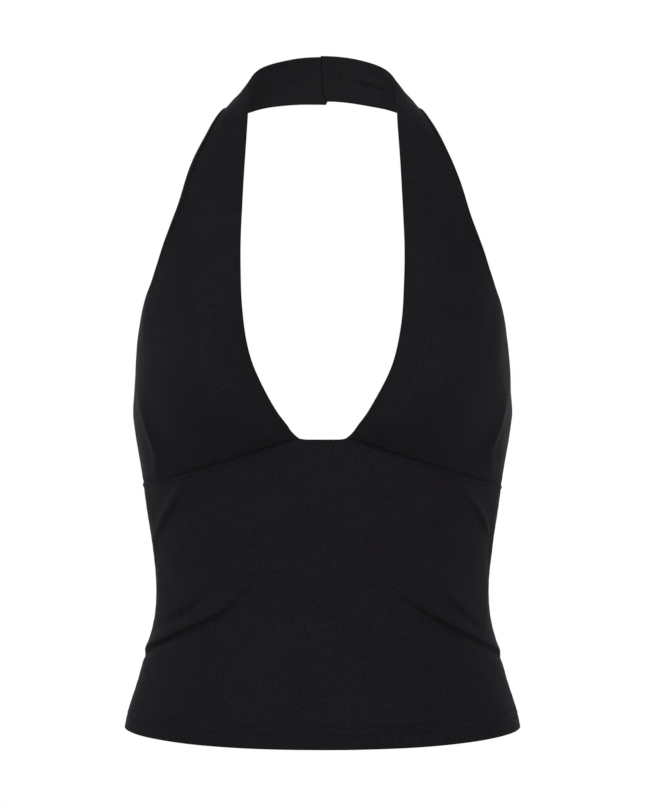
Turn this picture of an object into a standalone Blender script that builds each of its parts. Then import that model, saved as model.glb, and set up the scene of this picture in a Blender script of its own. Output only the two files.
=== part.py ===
"""Halter neck top in black stretch jersey, worn and hollow: four panels of cloth.

Frame: metres, +Z up. The wearer faces -Y, and +X is on the right of someone who looks at the
front. The origin is on the inner face of the neck strap, half way up its centre-back seam, where
the wearer's neck holds the top up.

The tables are in millimetres in a drafting frame: x from the centre line, y backwards from the
plane of the side seams, z up from the hem. place() turns drafting points into the part's frame.
"""

from collections import namedtuple

import bpy
import numpy as np

# ---------------------------------------------------------------- driving dimensions (millimetres)
MM = 0.001
WALL = 1.5  # jersey, with its turned edges
GAP = 0.3  # between two panels at a seam

HEM_AT_CENTRE = -0.9  # the hem hangs a little lower at the centre front and back
HEM_AT_SIDES = 2.8
SEAM_AT_CENTRE = 219.5  # height at which the two under-bust seams would meet
SEAM_FALL = 0.327  # and their fall for each millimetre out from the centre
SEAM_LENGTH = 153.0  # about the length of one under-bust seam
NECKLINE_HALF_WIDTH = 17.5  # half of the flat bottom of the neckline
UNDERARM_HEIGHT = 226.0
BACK_TOP_HEIGHT = 200.0  # the back's top edge at the centre
STRAP_STEP_TOP = 0.4  # the half straps meet unevenly: one is this much high and one this much low
STRAP_STEP_BOTTOM = 1.2

CUP_COLUMNS = 10  # faces across a cup, from neckline to side seam
HALTER_ROWS = 36  # faces along a halter panel
HALTER_CROWDING = 1.3  # over 1 crowds its rows towards the neck, where the strap turns most
NECKLINE_COLUMNS = 2  # faces across half of the neckline's bottom
FRONT_COLUMNS = 17  # and from its corner to the side seam
BACK_COLUMNS = 24
BACK_ROWS = 16
SEAM_STRIP = 1.2  # width of the narrow faces along a seam, which keep the two walls' ends parallel

# Rows of faces up the front body, closer where the waist folds are: share of the height up to which
# each band reaches, and its number of rows.
RowBand = namedtuple("RowBand", "top rows")
FRONT_ROW_BANDS = [RowBand(0.24, 4), RowBand(0.60, 15), RowBand(1.0, 7)]

# Rings round the body: height, half the width, the front's and back's depth at the centre and the
# side seam's place.
TorsoRing = namedtuple("TorsoRing", "z half_width front_y back_y side_y")
TORSO_RINGS = [
    TorsoRing(-2.0, 143.9, -97.8, 98.3, 0.0),
    TorsoRing(0.0, 143.5, -97.5, 98.0, 0.0),
    TorsoRing(15.0, 140.3, -95.5, 96.0, 0.0),
    TorsoRing(36.0, 133.6, -92.0, 92.0, 0.0),
    TorsoRing(57.0, 127.9, -89.0, 87.0, 0.0),
    TorsoRing(79.0, 121.9, -86.5, 82.5, 0.0),
    TorsoRing(101.0, 119.8, -86.0, 80.0, -1.0),
    TorsoRing(123.0, 121.0, -87.8, 81.0, -2.0),
    TorsoRing(145.0, 123.9, -91.5, 84.5, -3.5),
    TorsoRing(166.0, 127.0, -95.8, 89.0, -5.0),
    TorsoRing(188.0, 129.8, -98.6, 93.5, -6.0),
    TorsoRing(209.0, 133.3, -97.8, 96.0, -4.0),
    TorsoRing(226.0, 135.9, -96.5, 97.0, 0.0),
]

# Sections across a halter panel, from the neckline edge (in) to the outer edge (out), on the +X
# side. Each is a cubic curve with a handle at each end, whose dx and dy are seen from above.
# Up to the underarm the outer end is on the side seam, so its x and y come from the rings. Over
# the shoulder both handles are lifted, so that the strap arches.
CupRow = namedtuple("CupRow", "in_x in_y in_z out_z in_dx in_dy out_dx out_dy in_lift out_lift")
CUP_ROWS = [
    CupRow(22.8, -100.8, 221.5, 194.0, 40.0, -14.0, 3.0, -60.0, 0.0, 0.0),
    CupRow(30.0, -105.0, 231.0, 210.0, 42.0, -20.0, 3.0, -70.0, 0.0, 0.0),
    CupRow(36.3, -108.5, 241.5, 226.0, 43.0, -25.0, 1.5, -80.0, 0.0, 0.0),
]
StrapRow = namedtuple(
    "StrapRow", "in_x in_y in_z out_x out_y out_z in_dx in_dy out_dx out_dy in_lift out_lift"
)
STRAP_ROWS = [
    StrapRow(42.4, -110.5, 253.0, 134.5, -13.0, 243.0, 44.0, -30.0, 1.5, -76.0, 0.0, 0.0),
    StrapRow(48.2, -111.0, 266.5, 132.8, -25.0, 262.0, 42.0, -31.0, 1.5, -70.0, 0.0, 0.0),
    StrapRow(52.6, -107.8, 283.0, 130.6, -38.0, 282.0, 37.0, -25.0, 0.0, -55.0, 0.0, 0.0),
    StrapRow(55.4, -101.0, 302.0, 126.8, -48.5, 303.0, 31.0, -16.0, -3.0, -38.0, 0.0, 0.0),
    StrapRow(56.9, -91.0, 324.0, 119.5, -55.0, 326.0, 26.0, -10.0, -8.0, -22.0, 0.0, 0.0),
    StrapRow(57.5, -78.6, 348.0, 111.5, -57.0, 350.0, 21.0, -5.0, -11.0, -14.0, 0.0, 0.0),
    StrapRow(57.0, -64.8, 372.0, 102.4, -51.5, 376.0, 17.0, -1.0, -12.0, -9.5, 0.0, 0.0),
    StrapRow(56.2, -51.0, 394.0, 94.6, -38.5, 402.0, 14.0, 0.5, -10.5, -9.0, 0.0, 0.0),
    StrapRow(55.3, -37.5, 413.0, 85.6, -21.5, 424.0, 11.5, 1.5, -7.5, -9.5, 0.5, 0.5),
    StrapRow(54.4, -24.5, 429.0, 77.6, -6.5, 439.5, 9.5, 1.5, -4.5, -10.0, 1.5, 0.5),
    StrapRow(53.9, -11.0, 443.0, 72.2, 6.5, 447.6, 9.0, 1.5, -2.5, -10.0, 3.0, 1.0),
    StrapRow(54.0, 2.0, 454.5, 69.4, 17.5, 448.8, 8.5, 1.5, -1.0, -8.5, 5.0, 0.5),
    StrapRow(54.0, 14.0, 464.0, 65.6, 28.0, 448.3, 7.5, 2.0, 1.0, -6.5, 4.6, 0.5),
    StrapRow(51.5, 26.0, 472.7, 59.3, 38.0, 447.4, 5.5, 4.0, 0.0, -4.0, 1.5, 0.5),
    StrapRow(44.8, 38.5, 480.0, 49.0, 48.5, 450.6, 3.5, 4.5, 0.0, -2.0, 0.0, 0.0),
    StrapRow(30.0, 50.0, 485.9, 31.5, 58.8, 454.6, 1.5, 4.0, -0.5, -1.5, 0.0, 0.0),
    StrapRow(15.0, 56.6, 489.0, 15.5, 64.4, 456.7, 0.5, 3.5, -0.2, -1.5, 0.0, 0.0),
    StrapRow(0.0, 58.5, 489.9, 0.0, 66.0, 457.1, 0.0, 3.5, 0.0, -1.5, 0.0, 0.0),
]
STRAP_STEP_REACH = 45.0  # the unevenness at the centre-back seam fades out over this width

# Drag folds. Each runs through three points, given by angle round the body from the centre front
# (negative on the -X side, over 90 on the back) and height. A crest stands above a trough.
Fold = namedtuple("Fold", "start_angle start_z mid_angle mid_z end_angle end_z crest reach")
FOLDS = [
    Fold(-92.0, 70.0, -56.0, 80.3, -26.3, 115.5, 1.9, 4.4),
    Fold(88.0, 68.0, 53.0, 81.7, 22.7, 119.7, 1.8, 4.4),
    Fold(-100.0, 60.0, -126.0, 84.0, -152.0, 106.0, 1.5, 5.0),
    Fold(98.0, 62.0, 122.0, 80.0, 156.0, 111.0, 1.7, 5.0),
    Fold(-75.0, 142.0, -63.0, 163.0, -50.0, 182.0, 1.1, 4.2),
    Fold(75.0, 142.0, 64.5, 159.0, 53.0, 174.0, 0.8, 4.0),
]
DEGREE_OF_ARC = 2.0  # millimetres of cloth for a degree round the body
FOLD_STEPS = 24
FOLD_END = 0.06  # share of its length at which a fold's fading stops, so that its ends are soft
FOLD_FADE = 0.8  # under 1 keeps a fold deep for longer

BLACK_JERSEY = (0.012, 0.0115, 0.013, 1.0)
COLLECTION = "halter_neck_top"


# ---------------------------------------------------------------- curves
def smooth(knots, values, at):
    """The natural cubic spline through rows of values, read at the places in at."""
    knots, values = np.asarray(knots, float), np.asarray(values, float)
    flat = values.reshape(len(knots), -1)
    steps = np.diff(knots)
    system = np.eye(len(knots))
    target = np.zeros_like(flat)
    for i in range(1, len(knots) - 1):
        system[i, i - 1 : i + 2] = steps[i - 1], 2 * (steps[i - 1] + steps[i]), steps[i]
        rise_before = (flat[i] - flat[i - 1]) / steps[i - 1]
        rise_after = (flat[i + 1] - flat[i]) / steps[i]
        target[i] = 6 * (rise_after - rise_before)
    bend = np.linalg.solve(system, target)
    at = np.clip(np.atleast_1d(np.asarray(at, float)), knots[0], knots[-1])
    i = np.clip(np.searchsorted(knots, at, side="right") - 1, 0, len(steps) - 1)
    h = steps[i][:, None]
    b = (at - knots[i])[:, None] / h
    a = 1.0 - b
    result = a * flat[i] + b * flat[i + 1]
    result += ((a**3 - a) * bend[i] + (b**3 - b) * bend[i + 1]) * h**2 / 6
    return result.reshape(len(at), *values.shape[1:])


def along(points):
    """Distance along a run of points, from its start."""
    return np.concatenate([[0.0], np.cumsum(np.linalg.norm(np.diff(points, axis=0), axis=1))])


def spread(points, fractions):
    """The points at these fractions of a run's length."""
    run = along(points)
    at = np.asarray(fractions) * run[-1]
    return np.stack([np.interp(at, run, points[:, k]) for k in range(3)], axis=1)


def bezier(ends, handles, steps=60):
    t = np.linspace(0.0, 1.0, steps + 1)[:, None]
    a, b = np.asarray(ends, float)
    c, d = np.asarray(handles, float)
    return a * (1 - t) ** 3 + 3 * c * t * (1 - t) ** 2 + 3 * d * t**2 * (1 - t) + b * t**3


# ---------------------------------------------------------------- the body's form
def ring_at(z):
    """Half width, front, back and side seam of the body at one height."""
    table = np.array(TORSO_RINGS)
    return smooth(table[:, 0], table[:, 1:], z)[0]


def torso_point(angle, z, side_gap=0.0):
    """A point of the body at an angle in degrees from the centre front. side_gap moves the side
    seam's line forwards on the front and backwards on the back."""
    half_width, front, back, side = ring_at(z)
    turn = np.radians(angle)
    if abs(angle) <= 90.0:
        middle = side - side_gap
        y = middle + (front - middle) * np.cos(turn)
    else:
        middle = side + side_gap
        y = middle - (back - middle) * np.cos(turn)
    return np.array([half_width * np.sin(turn), y, z])


def torso_out(angle, z):
    """The direction straight out of the body's surface, level."""
    half_width, front, back, side = ring_at(z)
    depth = side - front if abs(angle) <= 90.0 else back - side
    turn = np.radians(angle)
    out = np.array([depth * np.sin(turn), -half_width * np.cos(turn), 0.0])
    return out / np.linalg.norm(out)


def fold_offset(angle, z):
    """How far the drag folds push the cloth out at a point of the body."""
    offset = 0.0
    here = np.array([angle * DEGREE_OF_ARC, z])
    for fold in FOLDS:
        points = np.array(fold[:6]).reshape(3, 2) * [DEGREE_OF_ARC, 1.0]
        t = np.linspace(0.0, 1.0, FOLD_STEPS + 1)[:, None]
        bend = 2 * points[1] - (points[0] + points[2]) / 2
        line = points[0] * (1 - t) ** 2 + 2 * bend * t * (1 - t) + points[2] * t**2
        apart = here - line
        nearest = int(np.argmin((apart**2).sum(axis=1)))
        ahead = line[min(nearest + 1, FOLD_STEPS)] - line[max(nearest - 1, 0)]
        ahead /= np.linalg.norm(ahead)
        up = np.array([-ahead[1], ahead[0]])
        across = apart[nearest] @ (up if up[1] > 0 else -up) / fold.reach
        beyond = apart[nearest] @ ahead / fold.reach
        fade = np.sin(np.pi * np.clip(t[nearest, 0], FOLD_END, 1.0 - FOLD_END)) ** FOLD_FADE
        shape = across * np.exp(0.5 - across**2 / 2 - beyond**2 / 2)
        offset += fold.crest * fade * shape
    return offset


def body_surface(angle, z, side_gap):
    return torso_point(angle, z, side_gap) + torso_out(angle, z) * fold_offset(angle, z)


def hem_height(angle):
    return HEM_AT_CENTRE + (HEM_AT_SIDES - HEM_AT_CENTRE) * abs(np.sin(np.radians(angle))) ** 3


def seam_height(angle):
    """Height of the front body's top edge: the neckline's flat bottom, then the under-bust seam."""
    z = SEAM_AT_CENTRE
    for _ in range(12):
        x = max(abs(torso_point(angle, z)[0]), NECKLINE_HALF_WIDTH)
        z = SEAM_AT_CENTRE - SEAM_FALL * x
    return z


def neckline_angle():
    """The angle round the body of the neckline's bottom corner."""
    half_width = ring_at(SEAM_AT_CENTRE - SEAM_FALL * NECKLINE_HALF_WIDTH)[0]
    return float(np.degrees(np.arcsin(NECKLINE_HALF_WIDTH / half_width)))


def cup_fractions():
    """Evenly spaced places across a halter panel, with a narrow strip at the outer edge."""
    even = np.linspace(0.0, 1.0, CUP_COLUMNS + 1)
    return np.append(even[:-1], [1.0 - SEAM_STRIP / SEAM_LENGTH, 1.0])


def seam_angles():
    """Angles of the points along one under-bust seam, from the neckline out."""
    dense = np.linspace(neckline_angle(), 90.0, 121)
    run = along(np.array([torso_point(a, seam_height(a)) for a in dense]))
    return np.interp(cup_fractions() * run[-1], run, dense)


# ---------------------------------------------------------------- the panels' outer faces
def front_body_grid():
    """Rows of points from the hem up to the under-bust seam, each from -X to +X."""
    corner = neckline_angle()
    middle = np.linspace(0.0, corner, NECKLINE_COLUMNS + 1)[:-1]
    outer = np.linspace(corner, 90.0, FRONT_COLUMNS + 1)[:-1]
    half = np.concatenate([middle, outer, [90.0 - SEAM_STRIP / DEGREE_OF_ARC, 90.0]])
    angles = np.concatenate([-half[:0:-1], half])
    heights = [0.0]
    for band in FRONT_ROW_BANDS:
        heights.extend(np.linspace(heights[-1], band.top, band.rows + 1)[1:])
    bottoms = [hem_height(a) for a in angles]
    tops = [seam_height(a) - GAP / 2 for a in angles]
    return np.array([
        [body_surface(a, low + v * (top - low), GAP / 2) for a, low, top in zip(angles, bottoms, tops)]
        for v in heights
    ])


def back_top(angle):
    """Height of the back's top edge, level with the underarm at the sides and low in the middle."""
    return BACK_TOP_HEIGHT + (UNDERARM_HEIGHT - BACK_TOP_HEIGHT) * np.sin(np.radians(angle)) ** 2


def back_body_grid():
    """Rows of points from the hem up, each from the +X side round the back to the -X side."""
    start = 90.0 + 1e-6  # on the back's half of the ring
    strip = SEAM_STRIP / DEGREE_OF_ARC
    inner = np.linspace(start, 360.0 - start, BACK_COLUMNS + 1)[1:-1]
    angles = np.concatenate([[start, start + strip], inner, [360.0 - start - strip, 360.0 - start]])
    rows = []
    for v in np.linspace(0.0, 1.0, BACK_ROWS + 1):
        row = []
        for a in angles:
            z = hem_height(a) + v * (back_top(a) - hem_height(a))
            signed = a if a <= 180.0 else a - 360.0
            row.append(body_surface(signed, z, GAP / 2))
        rows.append(row)
    return np.array(rows)


def halter_sections():
    """The halter panel's sections on the +X side, as rows of points."""
    fractions = cup_fractions()
    lift = np.array([0.0, 0.0, GAP / 2])
    seam = [torso_point(a, seam_height(a), GAP / 2) + lift for a in seam_angles()]
    sections = [np.array(seam)]
    for row in CUP_ROWS:
        end = torso_point(90.0, row.out_z, GAP / 2)
        sections.append(spread(section_curve(row, end), fractions))
    for row in STRAP_ROWS:
        sections.append(spread(section_curve(row, strap_out(row)), fractions))
    return np.array(sections)


def strap_out(row):
    return np.array([row.out_x, row.out_y, row.out_z])


def section_curve(row, end):
    """The curve across the cloth from a row's neckline edge to its outer edge, at end."""
    start = np.array([row.in_x, row.in_y, row.in_z])
    rise = (end[2] - start[2]) / 3
    lead_in = start + [row.in_dx, row.in_dy, row.in_lift + rise]
    lead_out = end + [row.out_dx, row.out_dy, row.out_lift - rise]
    return bezier([start, end], [lead_in, lead_out])


def halter_grid(side):
    """Rows of points from the under-bust seam to the centre-back seam, each from the neckline edge
    out. side is 1 on the +X side and -1 on the -X side."""
    sections = halter_sections()
    other_half = sections[-2] * [-1.0, 1.0, 1.0]  # makes the strap cross the centre back level
    sections = np.append(sections, [other_half], axis=0)
    run = along(sections[:, CUP_COLUMNS // 3])
    end = run[-2]
    places = end * (1.0 - np.linspace(1.0, 0.0, HALTER_ROWS + 1) ** HALTER_CROWDING)
    places = np.append(places[:-1], [end - SEAM_STRIP, end])
    grid = smooth(run, sections, places)
    pull_to_side_seam(grid)
    near_seam = np.clip(1.0 - grid[:, :, 0] / STRAP_STEP_REACH, 0.0, 1.0) * (grid[:, :, 1] > 0.0)
    down_strap = cup_fractions()[None, :]
    step = STRAP_STEP_TOP + (STRAP_STEP_BOTTOM - STRAP_STEP_TOP) * down_strap
    grid[:, :, 2] += side * step * near_seam**2 * (3.0 - 2.0 * near_seam)
    grid[:, :, 0] = np.maximum(grid[:, :, 0], GAP / 2)
    return grid * [side, 1.0, 1.0]


def pull_to_side_seam(grid):
    """Below the underarm, puts the outer edge exactly on the side seam, fading in from the middle."""
    weight = cup_fractions()[:, None] ** 2
    for row in grid:
        if row[-1, 2] <= UNDERARM_HEIGHT:
            row += weight * (torso_point(90.0, row[-1, 2], GAP / 2) - row[-1])


# ---------------------------------------------------------------- building
def neck_rest():
    """The drafting point that becomes the origin: the strap's inner face at the centre back."""
    last = STRAP_ROWS[-1]
    middle = spread(section_curve(last, strap_out(last)), [0.5])[0]
    return middle - [0.0, WALL, 0.0]


ORIGIN = neck_rest()


def place(point):
    return tuple((point - ORIGIN) * MM)


def jersey_material(name):
    material = bpy.data.materials.new(name + "_jersey")
    material.use_nodes = True
    shader = material.node_tree.nodes["Principled BSDF"]
    shader.inputs["Base Color"].default_value = BLACK_JERSEY
    shader.inputs["Roughness"].default_value = 0.85
    shader.inputs["Metallic"].default_value = 0.0
    material.diffuse_color = BLACK_JERSEY
    return material


def panel(name, grid, flip, collection):
    """A cloth panel: its outer face as an open grid, with a Solidify modifier for the wall."""
    rows, columns = grid.shape[:2]
    faces = []
    for r in range(rows - 1):
        for c in range(columns - 1):
            low, low_next = r * columns + c, r * columns + c + 1
            high, high_next = low + columns, low_next + columns
            if abs(grid[r, c + 1, 0]) < abs(grid[r, c, 0]):  # each face is split along the folds
                pair = [(low, low_next, high_next), (low, high_next, high)]
            else:
                pair = [(low, low_next, high), (low_next, high_next, high)]
            faces += [three[::-1] if flip else three for three in pair]
    mesh = bpy.data.meshes.new(name)
    mesh.from_pydata([place(p) for p in grid.reshape(-1, 3)], [], faces)
    mesh.shade_smooth()
    mesh.materials.append(jersey_material(name))
    cloth = bpy.data.objects.new(name, mesh)
    collection.objects.link(cloth)
    wall = cloth.modifiers.new("wall", "SOLIDIFY")
    wall.thickness = WALL * MM
    wall.offset = -1.0
    wall.use_even_offset = True
    return cloth


def main():
    for item in list(bpy.data.objects):
        bpy.data.objects.remove(item, do_unlink=True)
    collection = bpy.data.collections.new(COLLECTION)
    bpy.context.scene.collection.children.link(collection)
    panel("front_body", front_body_grid(), False, collection)
    panel("back_body", back_body_grid(), False, collection)
    panel("halter_right", halter_grid(1), False, collection)
    panel("halter_left", halter_grid(-1), True, collection)


main()
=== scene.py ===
"""Looks of the halter neck top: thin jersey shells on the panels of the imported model.

The tables are in millimetres in a drafting frame: x from the centre line, y backwards from the
plane of the side seams, z up from the hem. place() turns drafting points into the model's frame,
in metres. The wearer faces -y.
"""

from collections import namedtuple

import bpy
import numpy as np
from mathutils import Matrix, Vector


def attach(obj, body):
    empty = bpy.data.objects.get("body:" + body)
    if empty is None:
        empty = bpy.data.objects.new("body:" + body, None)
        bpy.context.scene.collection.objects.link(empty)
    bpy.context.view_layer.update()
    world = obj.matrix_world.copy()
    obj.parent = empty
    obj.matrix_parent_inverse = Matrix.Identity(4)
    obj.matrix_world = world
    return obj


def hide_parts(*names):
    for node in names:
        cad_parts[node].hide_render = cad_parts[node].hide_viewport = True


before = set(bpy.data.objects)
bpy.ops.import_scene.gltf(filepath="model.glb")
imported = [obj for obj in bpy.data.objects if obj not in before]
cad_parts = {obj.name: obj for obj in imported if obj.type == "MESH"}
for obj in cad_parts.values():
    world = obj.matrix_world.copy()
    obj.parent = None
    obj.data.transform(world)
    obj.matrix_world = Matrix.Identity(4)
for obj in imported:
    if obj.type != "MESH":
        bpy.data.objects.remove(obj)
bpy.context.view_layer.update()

# ---------------- the body's sizes (millimetres)
MM = 0.001
WALL = 1.5

HEM_AT_CENTRE = -0.9
HEM_AT_SIDES = 2.8
SEAM_AT_CENTRE = 219.5
SEAM_FALL = 0.327  # the under-bust seam falls by this share of the distance out
SEAM_PASSES = 12  # of working out its height and the distance out from each other
SEAM_RISE = 1.4  # the sewn line lies this far above the model's gap
SEAM_RISE_FROM = (9.0, 18.5)  # reaching that between these distances out
SEAM_LEFT_LIFT = 1.8  # and it lies this much higher still at the left side seam
SEAM_LEFT_LIFT_FROM = (50.0, 84.0)  # reaching that between these angles round the body
NECKLINE_RISE = 0.45  # the neckline's bottom edge lies this far above the model's
NECKLINE_HALF_WIDTH = 17.5
UNDERARM_HEIGHT = 226.0
BACK_TOP_HEIGHT = 200.0
STRAP_STEP_TOP = 0.4  # at the centre-back seam the +x half lies this much higher at its top edge
STRAP_STEP_BOTTOM = 1.2  # and this much at its bottom edge, and the other half as much lower
STRAP_STEP_REACH = 45.0

TorsoRing = namedtuple("TorsoRing", "z half_width front_y back_y side_y")
TORSO_RINGS = [
    TorsoRing(-2.0, 143.9, -97.8, 98.3, 0.0),
    TorsoRing(0.0, 143.5, -97.5, 98.0, 0.0),
    TorsoRing(15.0, 140.3, -95.5, 96.0, 0.0),
    TorsoRing(36.0, 133.6, -92.0, 92.0, 0.0),
    TorsoRing(57.0, 127.9, -89.0, 87.0, 0.0),
    TorsoRing(79.0, 121.9, -86.5, 82.5, 0.0),
    TorsoRing(101.0, 119.8, -86.0, 80.0, -1.0),
    TorsoRing(123.0, 121.0, -87.8, 81.0, -2.0),
    TorsoRing(145.0, 123.9, -91.5, 84.5, -3.5),
    TorsoRing(166.0, 127.0, -95.8, 89.0, -5.0),
    TorsoRing(188.0, 129.8, -98.6, 93.5, -6.0),
    TorsoRing(209.0, 133.3, -97.8, 96.0, -4.0),
    TorsoRing(226.0, 135.9, -96.5, 97.0, 0.0),
]

CupRow = namedtuple("CupRow", "in_x in_y in_z out_z in_dx in_dy out_dx out_dy in_lift out_lift")
CUP_ROWS = [
    CupRow(22.8, -100.8, 221.5, 194.0, 40.0, -14.0, 3.0, -60.0, 0.0, 0.0),
    CupRow(30.0, -105.0, 231.0, 210.0, 42.0, -20.0, 3.0, -70.0, 0.0, 0.0),
    CupRow(36.3, -108.5, 241.5, 226.0, 43.0, -25.0, 1.5, -80.0, 0.0, 0.0),
]
StrapRow = namedtuple(
    "StrapRow", "in_x in_y in_z out_x out_y out_z in_dx in_dy out_dx out_dy in_lift out_lift"
)
STRAP_ROWS = [
    StrapRow(42.4, -110.5, 253.0, 134.5, -13.0, 243.0, 44.0, -30.0, 1.5, -76.0, 0.0, 0.0),
    StrapRow(48.2, -111.0, 266.5, 132.8, -25.0, 262.0, 42.0, -31.0, 1.5, -70.0, 0.0, 0.0),
    StrapRow(52.6, -107.8, 283.0, 130.6, -38.0, 282.0, 37.0, -25.0, 0.0, -55.0, 0.0, 0.0),
    StrapRow(55.4, -101.0, 302.0, 126.8, -48.5, 303.0, 31.0, -16.0, -3.0, -38.0, 0.0, 0.0),
    StrapRow(56.9, -91.0, 324.0, 119.5, -55.0, 326.0, 26.0, -10.0, -8.0, -22.0, 0.0, 0.0),
    StrapRow(57.5, -78.6, 348.0, 111.5, -57.0, 350.0, 21.0, -5.0, -11.0, -14.0, 0.0, 0.0),
    StrapRow(57.0, -64.8, 372.0, 102.4, -51.5, 376.0, 17.0, -1.0, -12.0, -9.5, 0.0, 0.0),
    StrapRow(56.2, -51.0, 394.0, 94.6, -38.5, 402.0, 14.0, 0.5, -10.5, -9.0, 0.0, 0.0),
    StrapRow(55.3, -37.5, 413.0, 85.6, -21.5, 424.0, 11.5, 1.5, -7.5, -9.5, 0.5, 0.5),
    StrapRow(54.4, -24.5, 429.0, 77.6, -6.5, 439.5, 9.5, 1.5, -4.5, -10.0, 1.5, 0.5),
    StrapRow(53.9, -11.0, 443.0, 72.2, 6.5, 447.6, 9.0, 1.5, -2.5, -10.0, 3.0, 1.0),
    StrapRow(54.0, 2.0, 454.5, 69.4, 17.5, 448.8, 8.5, 1.5, -1.0, -8.5, 5.0, 0.5),
    StrapRow(54.0, 14.0, 464.0, 65.6, 28.0, 448.3, 7.5, 2.0, 1.0, -6.5, 4.6, 0.5),
    StrapRow(51.5, 26.0, 472.7, 59.3, 38.0, 447.4, 5.5, 4.0, 0.0, -4.0, 1.5, 0.5),
    StrapRow(44.8, 38.5, 480.0, 49.0, 48.5, 450.6, 3.5, 4.5, 0.0, -2.0, 0.0, 0.0),
    StrapRow(30.0, 50.0, 485.9, 31.5, 58.8, 454.6, 1.5, 4.0, -0.5, -1.5, 0.0, 0.0),
    StrapRow(15.0, 56.6, 489.0, 15.5, 64.4, 456.7, 0.5, 3.5, -0.2, -1.5, 0.0, 0.0),
    StrapRow(0.0, 58.5, 489.9, 0.0, 66.0, 457.1, 0.0, 3.5, 0.0, -1.5, 0.0, 0.0),
]

# Drag folds of the body, through three points given by angle round the body from the centre front
# (negative on the -x side, over 90 on the back) and height. A crest stands above a trough, and a
# ridge stands alone. The first six are the model's six, but the four in front are drawn sharper,
# along lines of their own. The rest are finer.
Fold = namedtuple(
    "Fold", "start_a start_b mid_a mid_b end_a end_b crest reach ridge", defaults=[0.0]
)
BODY_FOLDS = [
    Fold(-96.0, 54.0, -57.5, 75.2, -30.0, 98.0, 2.9, 2.7),
    Fold(93.0, 54.0, 54.0, 76.3, 23.0, 111.0, 2.8, 2.7),
    Fold(-100.0, 60.0, -126.0, 84.0, -152.0, 106.0, 1.5, 5.0),
    Fold(98.0, 62.0, 122.0, 80.0, 156.0, 111.0, 1.7, 5.0),
    Fold(-77.0, 139.0, -56.0, 168.5, -47.0, 189.0, 0.0, 2.3, 3.2),
    Fold(74.0, 141.0, 56.5, 168.5, 40.5, 189.0, 0.0, 2.2, 2.7),
    Fold(-77.0, 79.0, -54.5, 92.0, -40.0, 113.0, 1.2, 3.2),
    Fold(72.0, 74.0, 54.0, 93.0, 41.0, 114.0, 1.3, 3.2),
    Fold(-41.0, 85.0, -32.0, 99.5, -20.0, 119.0, 1.0, 2.8),
    Fold(-34.0, 104.0, -22.0, 119.0, -12.0, 140.0, 0.45, 9.0),
    Fold(34.0, 98.0, 22.0, 117.0, 12.0, 138.0, 0.50, 9.0),
    Fold(-84.0, 120.0, -76.0, 134.0, -71.0, 154.0, 0.40, 5.0),
    Fold(86.0, 116.0, 79.0, 132.0, 74.0, 150.0, 0.45, 5.0),
    Fold(-96.0, 118.0, -112.0, 127.0, -126.0, 140.0, 0.55, 5.5),
    Fold(97.0, 126.0, 110.0, 134.0, 128.0, 150.0, 0.45, 6.0),
    Fold(-97.0, 196.0, -112.0, 184.0, -130.0, 176.0, 0.45, 6.0),
    Fold(96.0, 192.0, 113.0, 182.0, 134.0, 171.0, 0.40, 6.0),
    Fold(192.0, 92.0, 180.0, 96.0, 166.0, 90.0, 0.45, 7.0),
]
DEGREE_OF_ARC = 2.0  # millimetres of cloth for a degree round the body
CREST_BREADTH = 1.35  # a crest is this much broader than its trough
CREST_DROOP = 0.9  # and hangs down over it by this much of its height
CREST_DROOP_FROM = (20.0, 45.0)  # reaching that between these heights above the hem
FOLD_STEPS = 40
FOLD_ROOM = 4.0  # a fold's effect ends at this many times its reach from it
FOLD_END = 0.06  # share of its length at which its fading stops, so that its ends are soft
FOLD_FADE = 0.8  # under 1 keeps a fold deep for longer
FOLD_UNEVENNESS = 0.12  # its depth varies by this share along it
FOLD_UNEVENNESS_PACE = 9.0  # this fast, in radians for its whole length

# Creases of the halter panels, by distance from the centre-back seam and from the neckline edge,
# as if the panel lay flat. sides says which panels have it: 1 on the +x side, -1 on the -x side.
Crease = namedtuple(
    "Crease", "sides start_a start_b mid_a mid_b end_a end_b crest reach ridge", defaults=[0.0]
)
HALTER_CREASES = [
    Crease((1,), 24.0, 16.5, 42.0, 16.5, 74.0, 18.0, 1.35, 2.6),
    Crease((1,), 26.0, 24.0, 42.0, 24.5, 62.0, 25.0, 0.35, 3.0),
    Crease((-1,), 16.0, 14.0, 40.0, 17.0, 70.0, 14.0, 0.45, 3.4),
    Crease((1, -1), 62.0, 8.0, 88.0, 13.0, 118.0, 9.0, 0.50, 3.5),
    Crease((1,), 100.0, 16.0, 128.0, 15.0, 160.0, 21.0, 0.35, 4.0),
    Crease((-1,), 108.0, 12.0, 132.0, 17.0, 168.0, 18.0, 0.40, 4.0),
    Crease((1,), 268.0, 92.0, 300.0, 80.0, 334.0, 84.0, 0.35, 7.0),
    Crease((-1,), 262.0, 88.0, 298.0, 82.0, 330.0, 90.0, 0.40, 7.0),
    Crease((-1,), 340.0, 124.0, 382.0, 108.5, 414.0, 129.0, 0.0, 3.2, 2.1),
    Crease((1,), 340.0, 125.0, 381.0, 110.0, 412.0, 130.0, 0.0, 3.2, 1.9),
    Crease((1, -1), 330.0, 122.0, 380.0, 108.0, 420.0, 126.0, 0.0, 8.5, 1.6),
    Crease((-1,), 384.0, 24.0, 391.0, 14.0, 402.0, 6.0, 0.45, 2.4),
    Crease((1,), 386.0, 22.0, 392.0, 14.0, 403.0, 7.0, 0.35, 2.4),
]

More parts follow.
